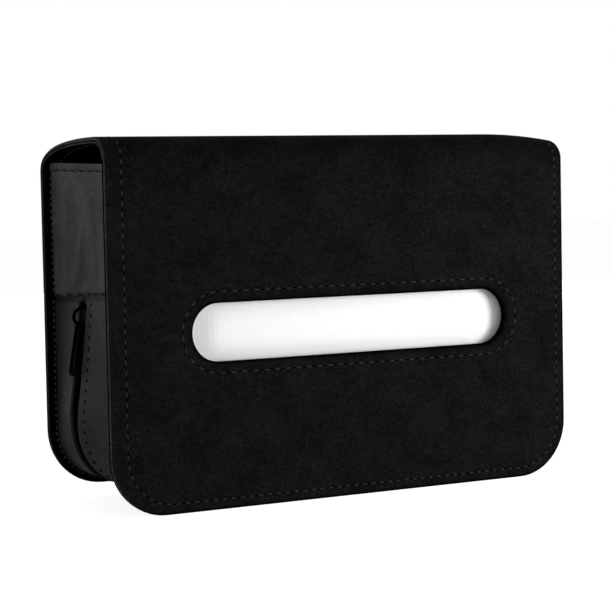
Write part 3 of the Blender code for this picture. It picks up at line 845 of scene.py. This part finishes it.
def make_wrap():
    """Back panel, lid and flap: a cover with soft rims, a facing inside it and a sewn-in lining."""
    facing_high = -COVER_THICKNESS - FACING_GAP
    facing_low = facing_high - FACING_THICKNESS
    lining_low = facing_low - LINING_THICKNESS

    def rim_inside(start, low, high, soft):
        return [(inset + start, height) for inset, height in rim_rows(low, high, soft)]

    cover_rim = rim_rows(-COVER_THICKNESS, 0, 0.7 * MM)
    facing_rim = rim_inside(0.12 * MM, facing_low, facing_high, 0.22 * MM)
    lining_rim = rim_inside(8 * MM, lining_low, facing_low, 0.08 * MM)
    groove = groove_rows(0.16 * MM)
    # Each end's seam in the lid and its fold, then its rows in millimetres past the fold: close, then wide.
    folds = {
        "front": (SEAM_S, FLAP_FOLD_Z, (0.6, -7, 32), (20.6, 2, 11)),
        "rear": (WRAP_LENGTH - SEAM_S, WRAP_LENGTH - BACK_FOLD_S, (0.5, -8, 20), (11, 1.6, 20)),
    }
    made = []
    for end, (seam, fold, (close, first, last), (start, wide, count)) in folds.items():
        if end == "front":
            borders = (BORDER_LEFT, BORDER_RIGHT, BORDER_LOW)
            before, rim_pick, pale_rim, right = slot_dip, front_rim, highlit_rim_leather, 1
            covered, lined = ("flap_leather", "flap_board"), ("flap_lining",)
        else:
            borders = (BORDER_RIGHT, BORDER_LEFT, BORDER_LOW)
            before, rim_pick, pale_rim, right = turned, rear_rim, back_rim_leather, -1
            covered = ("back_leather", "back_board", "lid_leather", "lid_board")
            lined = ("back_lining", "lid_lining")
        rows = [fold + step * close * MM for step in range(first, last)]
        rows += [fold + (start + step * wide) * MM for step in range(count)]
        rows = [place for place in rows if place < seam - 0.2 * MM]
        columns = [(74 + step * 2.4) * MM * right for step in range(15)]
        layers = {
            "cover": (cover_rim, groove, (wrap_leather, pale_rim, painted_shade_leather), covered),
            "facing": (facing_rim, [], (painted_shade_leather, pale_rim, painted_shade_leather), ()),
            "lining": (lining_rim, [], (lining,), lined),
        }
        for layer, (rim, grooves, materials, stood) in layers.items():
            bm = panel_sheet(seam + 40 * MM, borders, rim, grooves, end == "front")
            cut_rows(bm, rows)
            cut_rows(bm, columns, (1, 0, 0))
            trim_above(bm, seam)
            piece = finish_piece(
                "wrap_" + end + "_" + layer,
                bm,
                materials,
                onto_wrap,
                before,
                inner=None if layer == "lining" else rim_pick,
                shade=wrap_shade if layer == "cover" and end == "front" else None,
            )
            if stood:
                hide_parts(*stood)
            made.append((piece, end))
        path = border_path(HALF_WIDTH, borders, seam)
        faces = (
            ("outer", -0.14 * MM, 1, 0.55 * MM, thread_grey),
            ("inner", facing_low, -1, 0.85 * MM, thread_light),
        )
        for face, height, side, width, thread in faces:
            bm = sew(path, STITCH_PITCH, height, side, width=width)
            name = "wrap_" + end + "_" + face + "_stitches"
            made.append((finish_piece(name, bm, (thread, needle_hole_shade), onto_wrap, before), end))
            if end == "front":
                bm = sew(slot_path(SLOT_BORDER, SLOT_STITCH_RIGHT), SLOT_PITCH, height, side, width=width)
                name = "slot_" + face + "_stitches"
                made.append((finish_piece(name, bm, (thread_grey, needle_hole_shade), onto_wrap, before), end))
    for piece, end in made:
        if end == "front":
            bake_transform(piece)
        else:
            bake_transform(piece)


def make_front_panel():
    """The case's own front, behind the flap, with a wider slot and its own stitches."""

    def stand(co):
        return Vector((co.x, PANEL_FACE_Y - co.z, co.y + BOX_LIFT))

    tall = PANEL_TOP_Z - BOX_LIFT
    rows = rim_rows(-PANEL_THICKNESS, 0, 0.8 * MM)
    rows += [(PANEL_BORDER + inset, height) for inset, height in groove_rows(0.14 * MM)]
    outer, inner = [], []
    for inset, height in rows:
        half = PANEL_HALF_WIDTH - inset
        outer.append(ring(-half, half, inset, tall - inset, CORNER_RADIUS - inset, height, True))
        inner.append(slot_ring(PANEL_SLOT_MARGIN + inset, height, -BOX_LIFT))
    bm = flat_sheet(outer, inner)
    # The front panel takes the painted-shade black copy of the wrap's leather.
    panel = finish_piece("front_panel_cover", bm, (painted_shade_leather,), stand)
    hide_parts("front_panel_leather", "front_panel_board", "front_panel_lining")
    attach(panel, "case")
    border = border_path(PANEL_HALF_WIDTH, (PANEL_BORDER,) * 3, tall - PANEL_BORDER)
    slot_line = [point - Vector((0, BOX_LIFT)) for point in slot_path(PANEL_SLOT_MARGIN + PANEL_BORDER)]
    paths = {"front_panel_stitches": border + border[:1], "front_panel_slot_stitches": slot_line}
    for name, path in paths.items():
        sew_case(name, stand, thread_grey, path, STITCH_PITCH, -0.12 * MM)


def sew_case(name, place, thread, path, pitch, height, **options):
    """A line of stitches on the case."""
    bm = sew(path, pitch, height, **options)
    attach(finish_piece(name, bm, (thread, needle_hole_shade), place), "case")


# Soft creases of an upper side: where each starts and ends as (depth, height), how wide and how high it is.
CREASES = (
    ((-2.0, 113), (9.2, 90), 3.4, 0.45),
    ((-1.0, 101), (3.5, 88), 3.6, -0.3),
    ((12.0, 137), (12.5, 117), 3.0, 0.35),
    ((18.5, 112), (15.5, 95), 2.6, 0.35),
    ((22.5, 128), (21.0, 92), 3.2, -0.35),
    ((-9.0, 128), (-12.0, 96), 5.0, 0.4),
    ((5.0, 128), (2.0, 112), 3.4, -0.35),
    ((-16.0, 118), (-18.0, 90), 4.0, -0.3),
)


def crease_height(y, z):
    """Height of the soft creases at a place on an upper side."""
    here = Vector((y / MM, z / MM))
    height = 0.0
    for start, end, width, rise in CREASES:
        start, end = Vector(start), Vector(end)
        run = end - start
        share = min(max((here - start).dot(run) / run.length_squared, 0), 1)
        away = (here - start - run * share).length
        height += rise * ridge(away, 0, width)
    height += 0.45 * noise.noise(Vector((y * 90, z * 35, 3.1)))
    edge = smooth((PANEL_TOP_Z - 4 * MM - z) / (8 * MM)) * smooth((z - SEAM_Z) / (6 * MM))
    edge *= smooth((SIDE_BACK_Y - y) / (5 * MM)) * smooth((y - SIDE_FRONT_Y) / (5 * MM))
    return height * MM * edge


def make_upper_sides():
    """The two plain soft sides above the cross seam, hemmed at the top and creased."""
    hem_z = PANEL_TOP_Z - HEM_STITCH_DROP
    for name, side in (("left", -1), ("right", 1)):
        bm = flat_grid(SIDE_FRONT_Y, SIDE_BACK_Y, SEAM_Z - 0.7 * MM, PANEL_TOP_Z, 70, 96)
        for vert in bm.verts:
            y, z = vert.co.x, vert.co.y
            hem = 0.35 * smooth((z - (PANEL_TOP_Z - 3.6 * MM)) / (0.8 * MM))
            seams = 0.3 * ridge(z, hem_z, 0.5 * MM) + 0.25 * ridge(z, SEAM_Z, 0.6 * MM)
            back_lip = 0.7 * smooth((y - (SIDE_BACK_Y - 2.2 * MM)) / (2.2 * MM))
            border = 0.45 * (1 - smooth((z - SEAM_Z + 0.7 * MM) / (0.9 * MM)))
            vert.co.z = crease_height(y, z) + (hem - seams + back_lip + 0.25 - border) * MM
            if z > 125 * MM:
                drop = max(0.0, y - 24.0 * MM) ** 2 * 90
                vert.co.y -= drop * smooth((z - 125 * MM) / (15 * MM))
        thicken(bm, SIDE_THICKNESS)
        piece = finish_piece(
            "upper_side_" + name,
            bm,
            (side_leather, lining),
            onto_side(side),
            inner=inner_face,
            shade=seam_shade,
        )
        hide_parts("upper_gusset_" + name)
        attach(piece, "case")
        runs = {
            "hem": ((-24 * MM, hem_z), (24.5 * MM, hem_z), 7.6 * MM),
            "cross_seam": ((-25 * MM, SEAM_Z), (28.5 * MM, SEAM_Z), 8.4 * MM),
            "back_seam": ((BACK_STITCH_Y, SEAM_Z + MM), (BACK_STITCH_Y, 135 * MM), BACK_STITCH_PITCH),
        }
        for run, (start, end, pitch) in runs.items():
            thread, lift, look = thread_black, 0.3 * MM, {"width": 0.6 * MM, "holes": False}
            if run == "back_seam":
                thread, lift, look = thread_grey, BACK_STITCH_LIFT, {"width": BACK_THREAD}
            path = [Vector(start), Vector(end)]
            label = run + "_stitches_" + name
            sew_case(label, onto_side(side), thread, path, pitch, lift, length_share=0.64, **look)


def zip_open(s):
    """How far the zipped band's strips stand apart: closed over the zip's two ends."""
    return smooth((from_end(s) - 2.6 * MM) / (0.9 * MM))


def zip_low(s):
    """The zip runs narrower from the lower corner on."""
    return smooth((from_end(s) - ZIP_CORNER_S) / (10 * MM))


def floor_shade(co):
    """Painted shade: the zipped band is darker where it turns under the case."""
    return 1 - 0.75 * smooth((from_end(co.y) - 75 * MM) / (7 * MM))


def rear_shade(co):
    """Painted shade on the zipped band's rear strip: lighter towards the zip, darker towards the back seam,
    dark in the fold beside the zip and where it turns under the case.
    """
    edge = ZIP_Y + ZIP_HALF_WINDOW - ZIP_NARROWING * zip_low(co.y)
    fold = zip_open(co.y) * (1 - smooth((co.x - edge) / (0.7 * MM)))
    dark = 0.68 - 0.25 * smooth((from_end(co.y) - 40 * MM) / (20 * MM))
    return (1.1 - dark * smooth((co.x - 9 * MM) / (15 * MM))) * (1 - 0.95 * fold) * floor_shade(co)


def seam_shade(co):
    """Painted shade: an upper side's lower border is darker under the cross seam."""
    return 0.5 + 0.5 * smooth((co.y - SEAM_Z + 0.5 * MM) / (0.5 * MM))


def shape_strip(bm, zip_edge, outer_edge, side):
    """Roll a strip's edge in at the zip, and let its other edge and its leather swell a little."""
    for vert in bm.verts:
        y, s = vert.co.x, vert.co.y
        from_zip, from_outer = abs(y - zip_edge), abs(y - outer_edge)
        open_share = zip_open(s)
        height = 0.35 * ridge(from_zip, 0.9 * MM, 0.9 * MM)
        height -= 1.2 * open_share * (1 - smooth(from_zip / (0.6 * MM)))
        if side > 0:
            height += 0.5 * ridge(from_zip, 1.1 * MM, 1.3 * MM) + 0.7 * smooth(1 - from_outer / (2.2 * MM))
        else:
            height -= 0.1 * ridge(from_zip, TOPSTITCH_INSET, 0.5 * MM)
            height += 0.15 * ridge(from_zip, 2.4 * MM, 0.8 * MM)
        wave = 0.35 * noise.noise(Vector((y * 70, s * 30, 8.7)))
        height += wave * smooth(from_zip / (4 * MM)) * smooth(from_outer / (4 * MM))
        height -= 0.7 * (1 - smooth(from_end(s) / (3.4 * MM)))
        closer = (1 - open_share) * ZIP_HALF_WINDOW + zip_low(s) * ZIP_NARROWING
        vert.co.x -= side * closer * smooth(1 - from_zip / (7 * MM))
        vert.co.z = height * MM


def make_zip_band():
    """The zipped band: two leather strips, the tapes between them and the teeth."""
    for name, side, outer_edge in (("front", -1, SIDE_FRONT_Y), ("rear", 1, SIDE_BACK_Y)):
        zip_edge = ZIP_Y + side * ZIP_HALF_WINDOW
        bm = flat_grid(min(zip_edge, outer_edge), max(zip_edge, outer_edge), 0, CASE_LENGTH, 26, 190)
        cut_rows(bm, (2.7 * MM, 3.4 * MM, CASE_LENGTH - 3.4 * MM, CASE_LENGTH - 2.7 * MM))
        cut_rows(bm, [zip_edge + side * inset * MM for inset in (0.25, 0.5, 0.75, 1.3)], (1, 0, 0))
        shape_strip(bm, zip_edge, outer_edge, side)
        thicken(bm, SIDE_THICKNESS)
        piece = finish_piece(
            "zip_band_" + name,
            bm,
            (band_leather, lining),
            onto_case,
            inner=inner_face,
            shade=rear_shade if side > 0 else floor_shade,
        )
        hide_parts("zip_strip_" + name)
        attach(piece, "case")
        inner, outer = ZIP_Y + side * TAPE_NEAR, ZIP_Y + side * TAPE_FAR
        bm = flat_grid(min(inner, outer), max(inner, outer), 0, CASE_LENGTH, 8, 170)
        bmesh.ops.translate(bm, vec=(0, 0, TAPE_TOP), verts=bm.verts)
        thicken(bm, TAPE_THICKNESS)
        tape = finish_piece("zip_tape_cloth_" + name, bm, (tape_cloth,), onto_case)
        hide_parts("zip_tape_" + name)
        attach(tape, "case")
        row = finish_piece("zip_teeth_" + name, teeth(side), (coil_nylon,), onto_case)
        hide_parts("zip_coil_" + name)
        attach(row, "case")
    topstitch_y = ZIP_Y - ZIP_HALF_WINDOW - TOPSTITCH_INSET
    topstitch = [Vector((topstitch_y, s)) for s in (2 * MM, CASE_LENGTH - 2 * MM)]
    look = {"length_share": 0.5, "width": 0.8 * MM, "holes": False}
    sew_case("zip_topstitches", onto_case, thread_black, topstitch, 4.1 * MM, 0.15 * MM, **look)
    back_line = [Vector((BACK_STITCH_Y, s)) for s in (1.5 * MM, CASE_LENGTH - 1.5 * MM)]
    run = (back_line, BACK_STITCH_PITCH, BACK_STITCH_LIFT)
    sew_case("zip_band_back_stitches", onto_case, thread_grey, *run, length_share=0.66, width=BACK_THREAD)


def teeth(side):
    """One side of the zip's nylon teeth, which reach across the middle between those of the other side."""
    shape = bmesh.new()
    bmesh.ops.create_cube(shape, size=1)
    bmesh.ops.scale(shape, vec=(2.5 * MM, 0.52 * MM, 1.0 * MM), verts=shape.verts)
    soften(shape, list(shape.edges), 0.18 * MM, 1)
    tooth = mesh_of(shape)
    bm = bmesh.new()
    for index in range(int((CASE_LENGTH - 2 * TEETH_START) / TOOTH_PITCH)):
        s = TEETH_START + TOOTH_PITCH * (index + (0.25 if side > 0 else 0.75))
        stamp(bm, tooth, Matrix.Translation((ZIP_Y + side * TOOTH_MIDDLE, s, TOOTH_DEPTH)))
    bpy.data.meshes.remove(tooth)
    return bm


# Where the slider starts its run, how it sits there, and how the pull hangs from the crown.
SLIDER_TURN = math.atan2(ZIP_DRAW + ZIP_SIDE_BULGE, SEAM_Z - ZIP_BEND_Z)
CROWN_X = -1.6 * MM
PULL_TILT = math.radians(3.5)
RUN_PLACE = Matrix.Translation((-105.44 * MM, ZIP_Y, 77.8 * MM)) @ Matrix.Rotation(SLIDER_TURN, 4, "Y")
SLIDER_PLACE = Matrix.Translation((0.24 * MM, 0, 0.4 * MM)) @ RUN_PLACE
PULL_PLACE = RUN_PLACE @ Matrix.Translation((CROWN_X, 0, -1.902 * MM)) @ Matrix.Rotation(PULL_TILT, 4, "Y")
CROWN_REACH = 1.25
CROWN_CENTRE_X = 0.1 * MM
CROWN_RADIUS = 3.9 * MM
CROWN_WIRE_RADIUS = 0.6 * MM
SLIDER_PLATE = 0.9 * MM


def slider_plate(bm, across, crown_side):
    """One plate of the slider: broad shoulders, a narrower foot and soft edges."""
    verts = bmesh.ops.create_cube(bm, size=1)["verts"]
    bmesh.ops.scale(bm, vec=(SLIDER_PLATE, 5.3 * MM, 9.3 * MM), verts=verts)
    for vert in verts:
        if vert.co.z < 0:
            vert.co.y *= 0.78
    sides = [
        edge for edge in edges_of(verts) if abs(edge.verts[0].co.x - edge.verts[1].co.x) > SLIDER_PLATE / 2
    ]
    made = soften(bm, sides, 1.4 * MM, 5)
    faces = {face for vert in made["verts"] for face in vert.link_faces}
    verts = list({vert for face in faces for vert in face.verts} | {v for v in verts if v.is_valid})
    if crown_side:
        outer = min(vert.co.x for vert in verts)
        rim = [edge for edge in edges_of(verts) if all(abs(v.co.x - outer) < SAME_PLACE for v in edge.verts)]
        rounded = soften(bm, rim, 0.3 * MM, 3)
        verts = list({v for v in verts if v.is_valid} | set(rounded["verts"]))
    bmesh.ops.translate(bm, vec=(across, 0, 0), verts=verts)


def make_slider():
    """The glossy black slider with its round crown, and the long slotted pull that hangs from it."""
    bm = bmesh.new()
    slider_plate(bm, 0.25 * MM, True)
    slider_plate(bm, 3.65 * MM, False)
    web = bmesh.ops.create_cube(bm, size=1)["verts"]
    bmesh.ops.scale(bm, vec=(3.2 * MM, 0.3 * MM, 4.6 * MM), verts=web)
    bmesh.ops.translate(bm, vec=(2 * MM, 0, 1.4 * MM), verts=web)
    loop = bmesh.ops.create_circle(bm, segments=12, radius=CROWN_WIRE_RADIUS, cap_ends=False)["verts"]
    bmesh.ops.rotate(bm, verts=loop, matrix=Matrix.Rotation(math.pi / 2, 3, "Y"))
    bmesh.ops.scale(bm, vec=(1, 1.45, 1), verts=loop)
    bmesh.ops.translate(bm, vec=(CROWN_CENTRE_X, 0, CROWN_RADIUS), verts=loop)
    bmesh.ops.spin(
        bm,
        geom=loop + list(edges_of(loop)),
        cent=(CROWN_CENTRE_X, 0, 0),
        axis=(0, 1, 0),
        angle=-math.pi,
        steps=24,
        use_merge=False,
    )
    close_ends(bm)
    for vert in bm.verts:
        if vert.co.x < CROWN_X:
            vert.co.x = CROWN_X + (vert.co.x - CROWN_X) * CROWN_REACH
    bmesh.ops.recalc_face_normals(bm, faces=bm.faces)
    slider = finish_piece("zip_slider_body", bm, (enamel,), lambda co: SLIDER_PLACE @ co)
    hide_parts("zip_slider")
    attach(slider, "slider")

    outer, inner = [], []
    for inset, height in rim_rows(-0.6 * MM, 0.6 * MM, 0.5 * MM):
        half, hole = 2.5 * MM - inset, 1.25 * MM + inset
        outer.append(ring(-half, half, inset - 21.9 * MM, 0.75 * MM - inset, 2.3 * MM - inset, height))
        inner.append(ring(-hole, hole, -20.6 * MM - inset, -0.6 * MM + inset, 1.15 * MM + inset, height))
    bm = flat_sheet(outer, inner)
    turn = Matrix(((0, 0, 1, 0), (1, 0, 0, 0), (0, 1, 0, 0), (0, 0, 0, 1)))
    pull = finish_piece("zip_pull_loop", bm, (enamel,), lambda co: PULL_PLACE @ turn @ co)
    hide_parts("zip_pull")
    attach(pull, "pull")


def make_tissues():
    """A stack of folded tissues; the front one swells into the panel's slot."""
    low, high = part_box("tissue_stack")
    layers = 9
    depth = (high.y - low.y) / layers
    bm = bmesh.new()
    for index in range(layers):
        sheet = flat_grid(low.x, high.x, low.z + 1.6 * MM, high.z - random.uniform(0, 1.2) * MM, 60, 36)
        for vert in sheet.verts:
            x, z = vert.co.x, vert.co.y
            swell = 0.0
            if index == 0:
                across = 1 - smooth((abs(x - SLOT_X) - 60 * MM) / (16 * MM))
                up = 1 - smooth((abs(z - SLOT_Z) - 3 * MM) / (13 * MM))
                swell = 3.6 * MM * across * up
            soft = 0.25 * noise.noise(Vector((x * 40, z * 60, index * 5.3))) * MM
            vert.co.z = swell + soft + 0.35 * depth * smooth((high.z - z) / (3 * MM))
        thicken(sheet, depth * 0.86)
        soften(sheet, [edge for edge in sheet.edges if edge.calc_face_angle(0) > 1.2], depth * 0.3, 3)
        bmesh.ops.translate(sheet, vec=(0, 0, -depth * index - 0.4 * MM), verts=sheet.verts)
        mesh = mesh_of(sheet)
        bm.from_mesh(mesh)
        bpy.data.meshes.remove(mesh)

    def stand(co):
        return Vector((co.x, low.y - co.z, co.y))

    stack = finish_piece("folded_tissues", bm, (paper,), stand)
    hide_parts("tissue_stack")
    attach(stack, "case")


def dress_kept_nodes():
    """The CAD pieces that stay as they are get their finish: magnets and the zip's stops."""
    finishes = dict.fromkeys(("zip_top_stop", "zip_bottom_stop"), enamel)
    for panel in ("flap", "front_panel"):
        for side in ("left", "right"):
            finishes[panel + "_magnet_" + side] = magnet_steel
    for name, material in finishes.items():
        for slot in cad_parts[name].material_slots:
            slot.link = "OBJECT"
            slot.material = material


def make_floor():
    """A pale floor that shows white to the camera and still takes the holder's shadow."""
    material = bpy.data.materials.new("pale_floor")
    material.use_nodes = True
    material.node_tree.nodes.clear()
    diffuse = node(material, "ShaderNodeBsdfDiffuse", {"Color": (0.8, 0.8, 0.8, 1)})
    seen = node(material, "ShaderNodeLightPath").outputs["Is Camera Ray"]
    glow = node(material, "ShaderNodeEmission", {"Strength": maths(material, "MULTIPLY", seen, FLOOR_GLOW)})
    both = node(material, "ShaderNodeAddShader", {0: diffuse.outputs[0], 1: glow.outputs[0]})
    node(material, "ShaderNodeOutputMaterial", {"Surface": both.outputs[0]})
    bm = bmesh.new()
    bmesh.ops.create_grid(bm, x_segments=1, y_segments=1, size=4)
    mesh = mesh_of(bm, "floor")
    mesh.materials.append(material)
    add_object("floor", mesh)


def make_world():
    """White where the camera or a reflection looks past the holder, and a soft even light elsewhere."""
    world = bpy.data.worlds.new("studio")
    bpy.context.scene.world = world
    world.use_nodes = True
    background = world.node_tree.nodes["Background"]
    background.inputs["Color"].default_value = (1, 1, 1, 1)
    path = node(world, "ShaderNodeLightPath")
    seen = path.outputs["Is Camera Ray"]
    for ray in ("Is Glossy Ray", "Is Transmission Ray"):
        seen = maths(world, "MAXIMUM", seen, path.outputs[ray])
    feed(background, "Strength", stretch(world, seen, 0.0, 1.0, AMBIENT, 1.0))


def add_lamp(name, place, target, size, power):
    """A soft rectangular lamp that looks at a point."""
    data = bpy.data.lights.new(name, "AREA")
    data.shape = "RECTANGLE"
    data.size, data.size_y = size
    data.energy = power
    lamp = add_object(name, data)
    lamp.location = place
    lamp.rotation_mode = "QUATERNION"
    lamp.rotation_quaternion = (Vector(target) - Vector(place)).to_track_quat("-Z", "Y")


def make_camera():
    """The photograph's view, as solved from its perspective."""
    azimuth, elevation, roll = (math.radians(angle) for angle in (-29.99, 3.47, -1.14))
    level = math.cos(elevation)
    back = Vector((math.sin(azimuth) * level, -math.cos(azimuth) * level, math.sin(elevation)))
    right = Vector((0, 0, 1)).cross(back).normalized()
    up = back.cross(right)
    turned_right = right * math.cos(roll) + up * math.sin(roll)
    turned_up = up * math.cos(roll) - right * math.sin(roll)
    place = Vector((-2.72 * MM, 0, 77.81 * MM)) + back * 867.5 * MM
    data = bpy.data.cameras.new("camera")
    data.lens = 119.3
    data.sensor_width = 36
    camera = add_object("camera", data)
    columns = (turned_right, turned_up, back)
    camera.matrix_world = Matrix.Translation(place) @ Matrix(columns).transposed().to_4x4()
    bpy.context.scene.camera = camera


make_camera()
make_wrap()
make_front_panel()
make_upper_sides()
make_zip_band()
make_slider()
make_tissues()
dress_kept_nodes()
make_floor()
make_world()
centre = (0, 0, 75 * MM)
add_lamp("key", (-0.1, -1.6, 0.15), centre, (1.2, 0.8), 7)
add_lamp("back", (0.5, 1.6, 0.15), centre, (1.2, 0.8), 12)
add_lamp("side", (-1.5, -0.35, 0.2), centre, (0.9, 0.9), 14)
add_lamp("fill", (0.32, -0.42, 0.06), (0.1, 0, 60 * MM), (0.3, 0.3), 2.5)
bpy.context.scene.view_settings.view_transform = "Standard"
